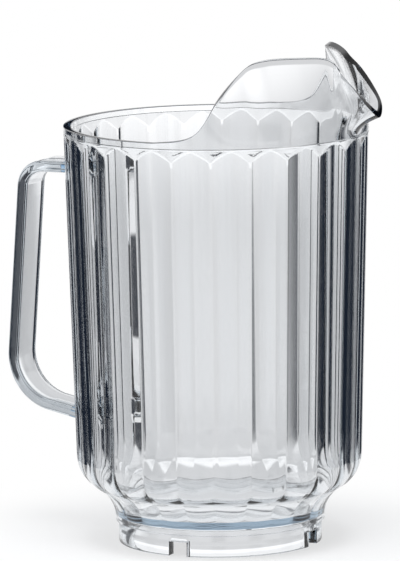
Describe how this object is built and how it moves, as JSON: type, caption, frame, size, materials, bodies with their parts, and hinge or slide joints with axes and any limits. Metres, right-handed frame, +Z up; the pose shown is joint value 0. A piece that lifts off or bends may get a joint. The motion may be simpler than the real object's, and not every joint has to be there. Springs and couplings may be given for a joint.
{
  "type": "beverage pitcher",
  "caption": "Clear fluted pitcher with a notched foot ring, a raised spout that narrows to a pour notch to hold back ice, and a slim loop handle.",
  "frame": {"origin": "on the table, on the axis of the round body", "axes": "+Z up along the body's axis, +X out of the spout, -X towards the handle"},
  "size_m": [0.1678, 0.127, 0.2073],
  "materials": {
    "clear_plastic": "polished clear styrene plastic, faintly blue",
    "stud_plastic": "polished clear plastic seen end on, so bluer"
  },
  "bodies": {
    "root": {"body_shell": "clear_plastic", "foot_ring": "clear_plastic", "rim_spout": "clear_plastic", "handle": "clear_plastic", "upper_stud": "stud_plastic", "lower_stud": "stud_plastic"}
  },
  "joints": []
}
